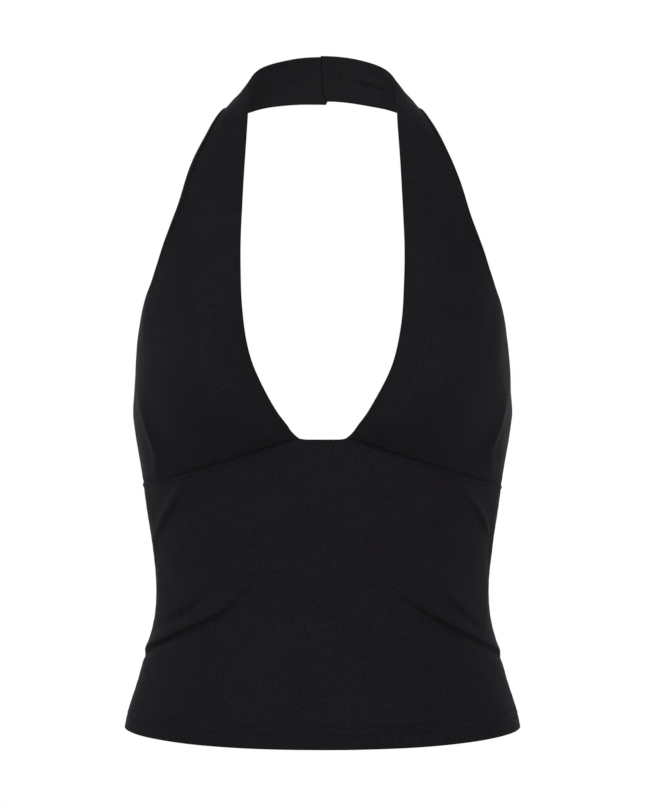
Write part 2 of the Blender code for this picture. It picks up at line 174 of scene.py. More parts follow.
# Slow unevenness of the cloth: waves along each of the panel's two directions.
Wave = namedtuple("Wave", "length_a length_b turn height")
WAVES = [
    Wave(83.0, 61.0, 0.7, 0.22),
    Wave(47.0, 98.0, 2.1, 0.16),
    Wave(31.0, 39.0, 4.4, 0.07),
]
SECOND_TURN = 1.7  # a wave's turn in the second direction is this many times the one in the first
HALTER_TURN = 1.9  # the halter panels' waves are turned by this, to either side
CALM_REACH = 12.0  # the waves flatten within this distance of an edge

# ---------------- edges and stitches (millimetres)
# distances of the points from an edge, crowded where it rounds
EDGE_STEPS = [0.0, 0.06, 0.2, 0.42, 0.75, 1.2, 1.9]
BUST_SEAM_STEPS = [0.0, 0.06, 0.2, 0.42, 0.75, 1.1, 1.5, 1.9, 2.3, 2.7, 3.1, 3.6, 4.2]
BUST_SEAM_DIP = 1.05  # how far each seam pulls the cloth in, and over what width
SIDE_SEAM_DIP = 0.2
BACK_SEAM_DIP = 0.12
CUP_DIP_WIDTH = 1.2  # the cup turns in sharply at a seam, and the body more gently
SEAM_DIP_WIDTH = 1.3
BODY_DIP_WIDTH = 1.5
BUST_SEAM_RIDGE = 0.6  # the seam allowance lifts a fine ridge this high, this far below the seam
BUST_SEAM_RIDGE_AT = 2.7
BUST_SEAM_RIDGE_WIDTH = 1.0
BUST_SEAM_START = (18.0, 27.0)  # the under-bust seam deepens between these distances out
BUST_SEAM_END = (100.0, 129.0)  # and is only as deep as the side seam past these
NECKLINE_LEAN = 3.0  # how far the neckline's bottom edge leans back, and over what height
NECKLINE_LEAN_HEIGHT = 13.0
NECKLINE_LEAN_SHARE = 0.6  # within this share of its half width it leans back fully
CUP_FULLNESS = 12.0  # how far a cup stands forward above the under-bust seam
CUP_FULLNESS_HEIGHT = 46.0  # reaching that within this height
CUP_FULLNESS_CURVE = 1.7
CUP_FULLNESS_EDGE = 14.0  # and it fades towards the panel's edges over this distance
CUP_FULLNESS_FACING = (0.08, 0.42)  # as far round as the cloth still faces forward
CUP_FULLNESS_FROM = 48.0  # and between these distances above the seam
CUP_FULLNESS_TO = 125.0
BUST_FLARE = 2.4  # the seam itself stands this far forward, over this height below it
BUST_FLARE_BELOW = 13.0
BUST_FLARE_OUT = (22.0, 60.0)  # growing between these distances out
SEAM_PUCKER = 0.10  # small waves beside a seam
SEAM_PUCKER_LENGTH = 8.5
SEAM_PUCKER_WIDTH = 4.0
SEAM_PUCKER_DRIFT = 1.3  # in radians, by which they run ahead and behind
SEAM_PUCKER_DRIFT_LENGTH = 23.0
TURNED_EXTRA = 0.25  # a turned edge is this much thicker than the cloth on each face
TURNED_FROM = 2.5  # and thins out between these distances from the edge
TURNED_TO = 9.0
ROLL_BULGE = 0.34  # the armhole's rolled edge stands proud, and has a groove inside it
ROLL_WIDTH = 4.1
ROLL_GROOVE = 1.15
ROLL_GROOVE_WIDTH = 0.6
ROLL_FADE = (330.0, 350.0)  # the roll grows between these heights
GROOVE_FADES = {-1: (335.0, 372.0), 1: (392.0, 418.0)}  # and each side's groove between these
SIDE_CLEAR = 1.5  # what runs along the hem and the top starts this far from a side seam
END_CLEAR = 2.0  # and a halter panel's roll and turned edges this far from its ends

SIDE_DEGREE = 1.6  # millimetres of cloth for a degree round the body, beside a side seam
NEEDLE_ROWS = [9.7, 15.2]  # heights of the hem's two rows of stitches above its edge
NEEDLE_GROOVE = 0.28
NEEDLE_GROOVE_WIDTH = 0.55
HEM_TUNNEL = 0.22  # the cloth between the rows stands proud
HEM_TUNNEL_FROM = (0.6, 1.8)  # reaching that between these distances from each row
HEM_ALLOWANCE = 16.8  # height of the turned-up layer inside
ALLOWANCE_SLOPE = 0.2  # its raw edge slopes over this distance to either side
HEM_LAYER = 0.7
STITCH_PITCH = 2.9
STITCH_LENGTH = 2.35
STITCH_RINGS = 5
STITCH_TAPER = 0.93  # a stitch's ends are this near to points
STITCH_LIFT = 0.55  # its middle lies this many thread radii above the cloth
STITCH_DIVE = 2.0  # and its ends this many lower
THREAD_RADIUS = 0.19
THREAD_SIDES = 6
LOOPER_RADIUS = 0.16
LOOK_AHEAD = 0.5  # a thread's direction is taken over this distance

SeamLean = namedtuple("SeamLean", "z shift")  # the centre-back seam wanders sideways as it rises
SEAM_LEANS = [
    SeamLean(455.0, 2.2),
    SeamLean(457.7, 3.6),
    SeamLean(460.0, 2.0),
    SeamLean(462.6, 0.3),
    SeamLean(490.5, -1.1),
]
SEAM_LEAN_REACH = 14.0
CORNER_SWEEP = 1.5  # the neckline rounds in to its bottom corners by this, over this height
CORNER_SWEEP_HEIGHT = 1.4
CORNER_HOLLOW = 0.65  # and out again above them, by this at this height
CORNER_HOLLOW_AT = 6.5
CORNER_HOLLOW_HEIGHT = 4.5
CORNER_WIDTH = 6.0
IN_REACH = 0.8  # the rounded neckline stands this far past the model's square one
OUT_REACH = 0.4  # and the rounded armhole edge this far
OUT_REACH_RISE = 3.0  # reaching that over this height above the underarm
# a cup's side seam ends between these heights
SIDE_SEAM_END = (UNDERARM_HEIGHT - 1.0, UNDERARM_HEIGHT + 2.0)
SEAM_LAP = 0.15  # each seamed edge runs this far past the seam, so no light shows through it
BACK_SEAM_LAP = 0.1  # and at the centre-back seam this far
STRAP_SEAM_NIP = (0.15, 1.25)  # the centre-back seam presses the outer and inner face in
STRAP_SEAM_WIDTH = 0.8
SEAM_HOLD = 2.5  # within this distance both sides of a seam face the same way
FOLD_CALM = 4.0  # folds flatten within this distance of the under-bust seam, on both its sides
GUIDE_FRACTION = 0.3  # the rows are spaced along the line at this share of the panel's width

CLOTH_MAP = "cloth"  # the UV map, in metres of flat cloth
BODY_COLUMNS = 200
FRONT_ROWS = 146
BACK_ROWS = 124
HALTER_COLUMNS = 78
HALTER_ROWS = 236
CURVE_STEPS = 240  # of a section's curve
SECTION_POINTS = 161  # read from each section
SEAM_POINTS = 481  # of the under-bust seam, as a halter panel's first section

# distances from a row of stitches, and from the raw edge inside, where the hem's rows of points lie
NEEDLE_ROW_STEPS = (-1.0, -0.6, -0.3, 0.0, 0.3, 0.6, 1.0, 1.6)
ALLOWANCE_STEPS = (0.15, 0.4, 0.8, 1.6)
HEM_STEPS = EDGE_STEPS + [3.5, 6.0, 8.2]
for needle_row in NEEDLE_ROWS:
    HEM_STEPS += [needle_row + step for step in NEEDLE_ROW_STEPS]
HEM_STEPS += [HEM_ALLOWANCE + step for step in ALLOWANCE_STEPS]
HEM_STEPS = sorted(set(round(step, 2) for step in HEM_STEPS))
ROLL_STEPS = EDGE_STEPS + [2.6, 3.1, 3.45, 3.75, 3.95, 4.1, 4.25, 4.45, 4.75, 5.1, 5.7]
# the front's top edge becomes a seam between these distances out
NECKLINE_CORNER = (NECKLINE_HALF_WIDTH - 1.5, NECKLINE_HALF_WIDTH + 0.5)


# ---------------- curves
def smooth(knots, values, at):
    """The natural cubic spline through rows of values, read at the places in at."""
    knots, values = np.asarray(knots, float), np.asarray(values, float)
    flat = values.reshape(len(knots), -1)
    steps = np.diff(knots)
    system = np.eye(len(knots))
    target = np.zeros_like(flat)
    for i in range(1, len(knots) - 1):
        system[i, i - 1 : i + 2] = steps[i - 1], 2 * (steps[i - 1] + steps[i]), steps[i]
        rise_before = (flat[i] - flat[i - 1]) / steps[i - 1]
        rise_after = (flat[i + 1] - flat[i]) / steps[i]
        target[i] = 6 * (rise_after - rise_before)
    bend = np.linalg.solve(system, target)
    at = np.clip(np.atleast_1d(np.asarray(at, float)), knots[0], knots[-1])
    i = np.clip(np.searchsorted(knots, at, side="right") - 1, 0, len(steps) - 1)
    h = steps[i][:, None]
    b = (at - knots[i])[:, None] / h
    a = 1.0 - b
    result = a * flat[i] + b * flat[i + 1]
    result += ((a**3 - a) * bend[i] + (b**3 - b) * bend[i + 1]) * h**2 / 6
    return result.reshape(len(at), *values.shape[1:])


def along(points):
    """Distance along a run of points, from its start."""
    return np.concatenate([[0.0], np.cumsum(np.linalg.norm(np.diff(points, axis=0), axis=1))])


def read_off(points, run, at):
    """The points, or directions, at these distances along a run."""
    return np.stack([np.interp(at, run, points[:, k]) for k in range(3)], axis=1)


def spread(points, fractions):
    """The points at these fractions of a run's length."""
    run = along(points)
    return read_off(points, run, np.asarray(fractions) * run[-1])


def unit(vectors):
    return vectors / np.linalg.norm(vectors, axis=-1, keepdims=True)


def bezier(ends, handles):
    t = np.linspace(0.0, 1.0, CURVE_STEPS + 1)[:, None]
    a, b = np.asarray(ends, float)
    c, d = np.asarray(handles, float)
    return a * (1 - t) ** 3 + 3 * c * t * (1 - t) ** 2 + 3 * d * t**2 * (1 - t) + b * t**3


def reach_past(end, before, distance):
    """Move the end of a run of points on, away from the point before it."""
    ahead = end - before
    end += distance * ahead / np.linalg.norm(ahead, axis=-1, keepdims=True)


def step_up(x, low, high):
    """0 below low and 1 above high, with a smooth rise between."""
    t = np.clip((x - low) / (high - low), 0.0, 1.0)
    return t * t * (3.0 - 2.0 * t)


def bump(x, middle, width):
    return np.exp(-(((x - middle) / width) ** 2))


def fold_offset(a, b, folds):
    """How far the folds push the cloth out at the flat places (a, b)."""
    offset = np.zeros(a.shape)
    for number, fold in enumerate(folds):
        start = np.array([fold.start_a, fold.start_b])
        middle = np.array([fold.mid_a, fold.mid_b])
        end = np.array([fold.end_a, fold.end_b])
        t = np.linspace(0.0, 1.0, FOLD_STEPS + 1)[:, None]
        bend = 2 * middle - (start + end) / 2
        line = start * (1 - t) ** 2 + 2 * bend * t * (1 - t) + end * t**2
        room = FOLD_ROOM * fold.reach
        low, high = line.min(axis=0) - room, line.max(axis=0) + room
        near = (a > low[0]) & (a < high[0]) & (b > low[1]) & (b < high[1])
        here = np.stack([a[near], b[near]], axis=1)
        apart = here[:, None, :] - line[None, :, :]
        nearest = np.argmin((apart**2).sum(axis=2), axis=1)
        ahead = unit(line[np.minimum(nearest + 1, FOLD_STEPS)] - line[np.maximum(nearest - 1, 0)])
        up = np.stack([-ahead[:, 1], ahead[:, 0]], axis=1)
        up *= np.where(up[:, 1:2] > 0, 1.0, -1.0)
        gone = apart[np.arange(len(here)), nearest]
        across = (gone * up).sum(axis=1) / fold.reach
        across = np.where(across > 0.0, across / CREST_BREADTH, across)
        beyond = (gone * ahead).sum(axis=1) / fold.reach
        place_on = t[nearest, 0]
        fade = np.sin(np.pi * np.clip(place_on, FOLD_END, 1.0 - FOLD_END)) ** FOLD_FADE
        fade *= 1.0 + FOLD_UNEVENNESS * np.sin(FOLD_UNEVENNESS_PACE * place_on + number)
        rise = fold.crest * across * np.exp(0.5 - across**2 / 2)
        rise += fold.ridge * np.exp(-(across**2) / 2)
        offset[near] += fade * rise * np.exp(-(beyond**2) / 2)
    return offset


def waves(a, b, shift):
    """Height of the slow waves at the flat places (a, b). Each panel has a shift of its own."""
    total = np.zeros(a.shape)
    for wave in WAVES:
        turn = wave.turn + shift
        first = np.sin(2 * np.pi * a / wave.length_a + turn)
        total += wave.height * first * np.cos(2 * np.pi * b / wave.length_b + SECOND_TURN * turn)
    return total


def edge_spaced(length, start_steps, end_steps, count):
    """Distances from 0 to each length: crowded steps at both ends and count even ones between."""
    length = np.atleast_1d(length)[:, None]
    start = np.broadcast_to(np.array(start_steps), (len(length), len(start_steps)))
    end = length - np.array(end_steps)[::-1]
    t = np.linspace(0.0, 1.0, count + 2)[1:-1]
    middle = start[:, -1:] + (end[:, :1] - start[:, -1:]) * t
    return np.concatenate([start, middle, end], axis=1)


# ---------------- the body's form
def ring_at(z):
    """Half width, front, back and side seam of the body at each height."""
    table = np.array(TORSO_RINGS)
    found = smooth(table[:, 0], table[:, 1:], np.ravel(z))
    return [found[:, k].reshape(np.shape(z)) for k in range(4)]


def torso_point(angle, z):
    """The body's outer face at an angle round it and a height."""
    angle, z = np.broadcast_arrays(np.asarray(angle, float), np.asarray(z, float))
    half_width, front, back, side = ring_at(z)
    turn = np.radians(angle)
    depth = np.where(np.abs(angle) <= 90.0, side - front, back - side)
    return np.stack([half_width * np.sin(turn), side - depth * np.cos(turn), z], axis=-1)


def torso_out(angle, z):
    """The level direction straight out of the body there."""
    half_width, front, back, side = ring_at(z)
    depth = np.where(np.abs(angle) <= 90.0, side - front, back - side)
    turn = np.radians(angle)
    level = np.zeros(np.shape(z))
    return unit(np.stack([depth * np.sin(turn), -half_width * np.cos(turn), level], axis=-1))


def hem_height(angle):
    return HEM_AT_CENTRE + (HEM_AT_SIDES - HEM_AT_CENTRE) * abs(np.sin(np.radians(angle))) ** 3


def seam_height(angle):
    """Height of the under-bust seam, and of the neckline's bottom edge between its two halves."""
    z = np.full(np.shape(angle), SEAM_AT_CENTRE)
    for _ in range(SEAM_PASSES):
        out = np.abs(torso_point(angle, z)[..., 0])
        z = SEAM_AT_CENTRE - SEAM_FALL * np.maximum(out, NECKLINE_HALF_WIDTH)
    lift = SEAM_LEFT_LIFT * step_up(-np.asarray(angle), *SEAM_LEFT_LIFT_FROM)
    rise = (SEAM_RISE - NECKLINE_RISE) * step_up(out, *SEAM_RISE_FROM) ** 2
    return z + NECKLINE_RISE + rise + lift


def neckline_angle():
    """The angle round the body at which the halter panels' under-bust seam starts."""
    start = SEAM_RISE_FROM[1]
    half_width = ring_at(np.array([SEAM_AT_CENTRE - SEAM_FALL * start]))[0][0]
    return float(np.degrees(np.arcsin(start / half_width)))


def back_top(angle):
    return BACK_TOP_HEIGHT + (UNDERARM_HEIGHT - BACK_TOP_HEIGHT) * np.sin(np.radians(angle)) ** 2


# ---------------- the halter panels' form
def section_curve(row, end):
    """A halter panel's section from its neckline edge to this end."""
    start = np.array([row.in_x, row.in_y, row.in_z])
    rise = (end[2] - start[2]) / 3
    lead_in = start + [row.in_dx, row.in_dy, row.in_lift + rise]
    lead_out = end + [row.out_dx, row.out_dy, row.out_lift - rise]
    return bezier([start, end], [lead_in, lead_out])


def strap_out(row):
    return np.array([row.out_x, row.out_y, row.out_z])


def halter_sections(fractions, side):
    """One halter panel's sections, on the +x side, read at these fractions of their lengths."""
    dense = np.linspace(neckline_angle(), 90.0, SEAM_POINTS)
    seam = torso_point(dense, seam_height(side * dense))
    sections = [spread(seam, fractions)]
    for row in CUP_ROWS:
        end = torso_point(90.0, row.out_z)
        sections.append(spread(section_curve(row, end), fractions))
    for row in STRAP_ROWS:
        sections.append(spread(section_curve(row, strap_out(row)), fractions))
    return np.array(sections)


def halter_surface(side):
    """The halter panel's outer face as rows from the under-bust seam to the centre-back seam, each
    from the neckline edge out, crowded at all four edges, and each row's distance from the
    centre-back seam."""
    fractions = np.linspace(0.0, 1.0, SECTION_POINTS)
    sections = halter_sections(fractions, side)
    sections = np.append(sections, [sections[-2] * [-1.0, 1.0, 1.0]], axis=0)
    guide = halter_sections([GUIDE_FRACTION], side)[:, 0]
    run = along(np.append(guide, [guide[-2] * [-1.0, 1.0, 1.0]], axis=0))
    end = run[-2]
    places = edge_spaced(end, EDGE_STEPS, EDGE_STEPS, HALTER_ROWS)[0]
    grid = smooth(run, sections, places)
    weight = fractions[:, None] ** 2
    for row in grid:
        if row[-1, 2] <= UNDERARM_HEIGHT:
            row += weight * (torso_point(90.0, row[-1, 2]) - row[-1])
        free = step_up(row[-1, 2], UNDERARM_HEIGHT, UNDERARM_HEIGHT + OUT_REACH_RISE)
        reach_past(row[0], row[1], IN_REACH)
        reach_past(row[-1], row[-2], OUT_REACH * free)
    near_seam = np.clip(1.0 - grid[:, :, 0] / STRAP_STEP_REACH, 0.0, 1.0) * (grid[:, :, 1] > 0.0)
    step = STRAP_STEP_TOP + (STRAP_STEP_BOTTOM - STRAP_STEP_TOP) * fractions[None, :]
    strap_up = grid[-1, 0] - grid[-1, -1]
    strap_up /= np.linalg.norm(strap_up)
    grid += (side * step * near_seam**2 * (3.0 - 2.0 * near_seam))[..., None] * strap_up
    widths = np.array([along(row)[-1] for row in grid])
    across = edge_spaced(widths, EDGE_STEPS, ROLL_STEPS, HALTER_COLUMNS)
    rows = np.array([spread(row, at / width) for row, at, width in zip(grid, across, widths)])
    up = lengths(rows, 0)
    sweep = CORNER_SWEEP * np.exp(-up / CORNER_SWEEP_HEIGHT)
    sweep -= CORNER_HOLLOW * bump(up, CORNER_HOLLOW_AT, CORNER_HOLLOW_HEIGHT)
    rows[..., 0] -= sweep * np.exp(-((across / CORNER_WIDTH) ** 2))
    lean = np.interp(rows[..., 2], *np.transpose(SEAM_LEANS))
    near = np.clip(1.0 - np.abs(rows[..., 0]) / SEAM_LEAN_REACH, 0.0, 1.0) * (rows[..., 1] > 0.0)
    rows[..., 0] = side * rows[..., 0] + lean * near**2
    return rows, end - places


# ---------------- from surface to shell
def outward(grid, side=1):
    """Unit normals of a grid of points. side is -1 where its columns run the other way."""
    return side * unit(np.cross(np.gradient(grid, axis=1), np.gradient(grid, axis=0)))


def held_to(normal, shared, distance):
    """Normals turned to the direction that both sides of a seam share, close to the seam."""
    hold = np.exp(-((distance / SEAM_HOLD) ** 2))[..., None]
    return unit(normal * (1.0 - hold) + shared * hold)


def lengths(grid, axis):
    """Distance of each point of a grid from the first point along the axis."""
    apart = np.linalg.norm(np.diff(grid, axis=axis), axis=-1)
    total = np.cumsum(apart, axis=axis)
    pad = [(0, 0), (0, 0)]
    pad[axis] = (1, 0)
    return np.pad(total, pad)


def quads(number):
    """The four-sided faces between the numbered points of a grid."""
    corners = [number[:-1, :-1], number[:-1, 1:], number[1:, 1:], number[1:, :-1]]
    return np.stack([c.ravel() for c in corners], axis=1)


def neck_rest():
    """The inner face of the strap, half way up its centre-back seam: the model's origin."""
    last = STRAP_ROWS[-1]
    return spread(section_curve(last, strap_out(last)), [0.5])[0] - [0.0, WALL, 0.0]


ORIGIN = neck_rest()


def place(points):
    return (np.asarray(points) - ORIGIN) * MM


def add_piece(name, data):
    piece = bpy.data.objects.new(name, data)
    bpy.context.scene.collection.objects.link(piece)
    return piece


def shell(name, grid, normal, edge, uv, materials, sink, relief, outer_extra, inner_extra):
    """A closed piece of cloth from the points of its outer face. edge is each point's distance from
    the nearest edge, where the two faces round into each other. sink moves the whole cloth along
    its normal, relief only its outer face, and the extras thicken it. Returns the piece and the
    final points of both faces."""
    radius = (WALL + outer_extra + inner_extra) / 2
    inside = radius - np.minimum(edge, radius)
    rounding = radius - np.sqrt(radius**2 - inside**2)
    outer = grid + normal * (sink + relief + outer_extra - rounding)[..., None]
    inner = grid + normal * (sink - WALL - inner_extra + rounding)[..., None]
    number = np.arange(edge.size).reshape(edge.shape)
    inner_number = number.copy()
    core = inner_number[1:-1, 1:-1]
    core[:] = edge.size + np.arange(core.size).reshape(core.shape)
    faces = np.concatenate([quads(number), quads(inner_number)[:, ::-1]])
    facing = np.cross(grid[0, 1] - grid[0, 0], grid[1, 0] - grid[0, 0]) @ normal[0, 0]
    if facing < 0:
        faces = faces[:, ::-1]
    mesh = bpy.data.meshes.new(name)
    points = np.concatenate([outer.reshape(-1, 3), inner[1:-1, 1:-1].reshape(-1, 3)])
    mesh.from_pydata(place(points), [], faces.tolist())
    mesh.shade_smooth()
    flat = np.concatenate([uv.reshape(-1, 2), uv[1:-1, 1:-1].reshape(-1, 2)]) * MM
    layer = mesh.uv_layers.new(name=CLOTH_MAP)
    corners = np.empty(len(mesh.loops), np.int32)
    mesh.loops.foreach_get("vertex_index", corners)
    layer.uv.foreach_set("vector", flat[corners].astype(np.float32).ravel())
    for material in materials:
        mesh.materials.append(material)
    wrong_side = np.arange(len(faces)) >= len(faces) // 2
    mesh.polygons.foreach_set("material_index", wrong_side.astype(np.int32))
    return add_piece(name, mesh), outer, inner


def pull(distance, depth, width=SEAM_DIP_WIDTH):
    """How far a seam draws the cloth in at a distance from it."""
    return depth * np.exp(-((distance / width) ** 2))


def bust_seam_dip(x):
    out = np.abs(x)
    deep = step_up(out, *BUST_SEAM_START) * (1.0 - step_up(out, *BUST_SEAM_END))
    return SIDE_SEAM_DIP + (BUST_SEAM_DIP - SIDE_SEAM_DIP) * deep


def bust_flare(angle, x):
    """How far forward the under-bust seam stands at an angle round the body and a distance out."""
    facing = step_up(np.cos(np.radians(angle)), *CUP_FULLNESS_FACING)
    return BUST_FLARE * facing * step_up(np.abs(x), *BUST_FLARE_OUT)


def pucker(distance, run):
    """Small uneven waves beside a seam."""
    drift = SEAM_PUCKER_DRIFT * np.sin(run / SEAM_PUCKER_DRIFT_LENGTH)
    wave = np.sin(2 * np.pi * run / SEAM_PUCKER_LENGTH + drift)
    return SEAM_PUCKER * wave * np.exp(-distance / SEAM_PUCKER_WIDTH) * (1.0 - np.exp(-distance))


def away(distance, reach):
    """0 at an edge and close to 1 at twice the reach from it."""
    return 1.0 - np.exp(-((distance / reach) ** 2))


def turned(distance):
    """How much thicker a turned edge makes each face at a distance from it."""
    return TURNED_EXTRA * (1.0 - step_up(distance, TURNED_FROM, TURNED_TO))


# ---------------- the panels
def body_panel(name, start, end, top_of, row_count, materials):
    """The front or back of the body, between two angles round it, from the hem up. Its sides are
    seams. Its top is a seam outside the neckline on the front, and a turned edge elsewhere."""
    is_back = start > 0
    steps = [step / SIDE_DEGREE for step in EDGE_STEPS]
    unrolled = start + edge_spaced(end - start, steps, steps, BODY_COLUMNS)[0]
    angle = np.where(unrolled > 180.0, unrolled - 360.0, unrolled)
    bottom, top = hem_height(angle), top_of(angle)
    top_steps = EDGE_STEPS if is_back else BUST_SEAM_STEPS
    z = bottom + edge_spaced(top - bottom, HEM_STEPS, top_steps, row_count).T
    angles = np.broadcast_to(angle, z.shape)
    flat_a = np.broadcast_to(unrolled * DEGREE_OF_ARC, z.shape)
    base = torso_point(angles, z)
    seamed = np.zeros(z.shape) if is_back else step_up(np.abs(base[..., 0]), *NECKLINE_CORNER)
    reach_past(base[:, 0], base[:, 1], SEAM_LAP)
    reach_past(base[:, -1], base[:, -2], SEAM_LAP)
    reach_past(base[-1], base[-2], SEAM_LAP * seamed[-1][:, None])
    left, up = lengths(base, 1), lengths(base, 0)
    right, down = left[:, -1:] - left, up[-1:] - up
    side = np.minimum(left, right)

    offset = fold_offset(flat_a, z, body_folds(is_back))
    offset *= 1.0 - seamed * (1.0 - away(down, FOLD_CALM))
    offset += waves(flat_a, z, start) * away(side, CALM_REACH) * away(down, CALM_REACH)
    if not is_back:
        lean_share = NECKLINE_LEAN_SHARE * NECKLINE_HALF_WIDTH
        middle = 1.0 - step_up(np.abs(base[..., 0]), lean_share, NECKLINE_HALF_WIDTH)
        offset -= NECKLINE_LEAN * middle * np.clip(1.0 - down / NECKLINE_LEAN_HEIGHT, 0.0, 1.0) ** 2
    shared = torso_out(angles, z)
    cloth = base + shared * offset[..., None]
    if not is_back:
        flare = seamed * bust_flare(angles, base[..., 0])
        cloth[..., 1] -= flare * np.exp(-down / BUST_FLARE_BELOW)
    droop = CREST_DROOP * np.clip(offset, 0.0, None) * away(down, CALM_REACH)
    cloth[..., 2] -= droop * step_up(up, *CREST_DROOP_FROM)
    seam = np.minimum(side, np.where(seamed > 0.5, down, side))
    normal = held_to(outward(cloth), shared, seam)

    seam_dip = seamed * pull(down, bust_seam_dip(base[..., 0]), BODY_DIP_WIDTH)
    sink = -np.maximum(pull(side, SIDE_SEAM_DIP), seam_dip)
    sink += pucker(side, z) + seamed * pucker(down, flat_a)
    sink += seamed * BUST_SEAM_RIDGE * bump(down, BUST_SEAM_RIDGE_AT, BUST_SEAM_RIDGE_WIDTH)
    relief = np.zeros(z.shape)
    for height in NEEDLE_ROWS:
        relief -= NEEDLE_GROOVE * bump(up, height, NEEDLE_GROOVE_WIDTH)
    low, high = NEEDLE_ROWS
    near, far = HEM_TUNNEL_FROM
    tunnel = step_up(up, low + near, low + far) * (1.0 - step_up(up, high - far, high - near))
    relief = (relief + HEM_TUNNEL * tunnel) * step_up(side, 0.0, SIDE_CLEAR)
    outer_extra = turned(down) * (1.0 - seamed) * step_up(side, 0.0, SIDE_CLEAR)
    allowance = 1.0 - step_up(up, HEM_ALLOWANCE - ALLOWANCE_SLOPE, HEM_ALLOWANCE + ALLOWANCE_SLOPE)
    inner_extra = outer_extra + HEM_LAYER * allowance
    edge = np.minimum(side, np.minimum(up, down))
    uv = np.stack([flat_a, z], axis=-1)
    return shell(name, cloth, normal, edge, uv, materials, sink, relief, outer_extra, inner_extra)


def body_folds(is_back):
    """The body's folds, by millimetres round it instead of degrees. The back counts on past 180."""
    found = []
    for fold in BODY_FOLDS:
        angles = [fold.start_a, fold.mid_a, fold.end_a]
        a, b, c = [(x + 360.0 if is_back and x < 0 else x) * DEGREE_OF_ARC for x in angles]
        found.append(fold._replace(start_a=a, mid_a=b, end_a=c))
    return found


def halter_panel(name, side, materials):
    """One cup with its half of the neck strap. side is 1 on the +x side and -1 on the -x side."""
    base, from_back = halter_surface(side)
    seamed = 1.0 - step_up(base[:, -1:, 2], *SIDE_SEAM_END)
    reach_past(base[0], base[1], SEAM_LAP)
    reach_past(base[-1], base[-2], BACK_SEAM_LAP)
    reach_past(base[:, -1], base[:, -2], SEAM_LAP * seamed)
    inward, up = lengths(base, 1), lengths(base, 0)
    outward_gap, down = inward[:, -1:] - inward, up[-1:] - up
    flat_a = np.broadcast_to(from_back[:, None], inward.shape)
    ends = np.minimum(up, down)

    offset = fold_offset(flat_a, inward, [c for c in HALTER_CREASES if side in c.sides])
    offset *= away(up, FOLD_CALM)
    calm = away(ends, CALM_REACH) * (1.0 - seamed * (1.0 - away(outward_gap, CALM_REACH)))
    offset += waves(flat_a, inward, HALTER_TURN * side) * calm
    facing = outward(base, side)
    low_down = np.clip(1.0 - up / CUP_FULLNESS_HEIGHT, 0.0, 1.0)
    full = 1.0 - low_down**CUP_FULLNESS_CURVE
    full = full * (1.0 - step_up(up, CUP_FULLNESS_FROM, CUP_FULLNESS_TO))
    full = full * away(inward, CUP_FULLNESS_EDGE) * step_up(-facing[..., 1], *CUP_FULLNESS_FACING)
    cloth = base + facing * offset[..., None]
    half_width = ring_at(base[..., 2])[0]
    angles = np.degrees(np.arcsin(np.clip(base[..., 0] / half_width, -1.0, 1.0)))
    cloth[..., 1] -= CUP_FULLNESS * full + bust_flare(angles, base[..., 0]) * low_down**2
    strap_back = np.cross(base[-1, 0] - base[-1, -1], [1.0, 0.0, 0.0])
    shared = np.where((down < up)[..., None], unit(strap_back), torso_out(angles, base[..., 2]))
    seam = np.minimum(ends, np.where(seamed > 0.5, outward_gap, ends))
    normal = held_to(outward(cloth, side), shared, seam)

    bust_pull = pull(up, bust_seam_dip(base[..., 0]), CUP_DIP_WIDTH)
    side_pull = seamed * pull(outward_gap, SIDE_SEAM_DIP)
    sink = -np.maximum(np.maximum(bust_pull, pull(down, BACK_SEAM_DIP)), side_pull)
    sink += pucker(up, inward) + seamed * pucker(outward_gap, flat_a)
    edge_height = base[:, -1:, 2]
    bulge = np.sin(np.pi * np.clip(outward_gap / ROLL_WIDTH, 0.0, 1.0))
    bulge = ROLL_BULGE * bulge * step_up(edge_height, *ROLL_FADE)
    groove = ROLL_GROOVE * bump(outward_gap, ROLL_WIDTH, ROLL_GROOVE_WIDTH)
    groove = groove * step_up(edge_height, *GROOVE_FADES[side])
    relief = (bulge - groove) * step_up(ends, 0.0, END_CLEAR)
    turned_edges = turned(inward) + (1.0 - seamed) * turned(outward_gap)
    extra = np.minimum(turned_edges, TURNED_EXTRA) * step_up(ends, 0.0, END_CLEAR)
    outer_extra, inner_extra = [extra - pull(down, nip, STRAP_SEAM_WIDTH) for nip in STRAP_SEAM_NIP]
    edge = np.minimum(ends, np.minimum(inward, outward_gap))
    uv = np.stack([inward, flat_a], axis=-1)
    return shell(name, cloth, normal, edge, uv, materials, sink, relief, outer_extra, inner_extra)


# ---------------- stitches
def spaced_along(path, pitch):
    """Even places along a run of points, at least half a pitch clear of its ends, their
    directions, and the distances along the run of the places and of its own points."""
    run = along(path)
    count = int((run[-1] - pitch) / pitch)
    at = (np.arange(count) + 0.5) * (run[-1] / count)
    here = read_off(path, run, at)
    return here, unit(read_off(path, run, at + LOOK_AHEAD) - here), at, run


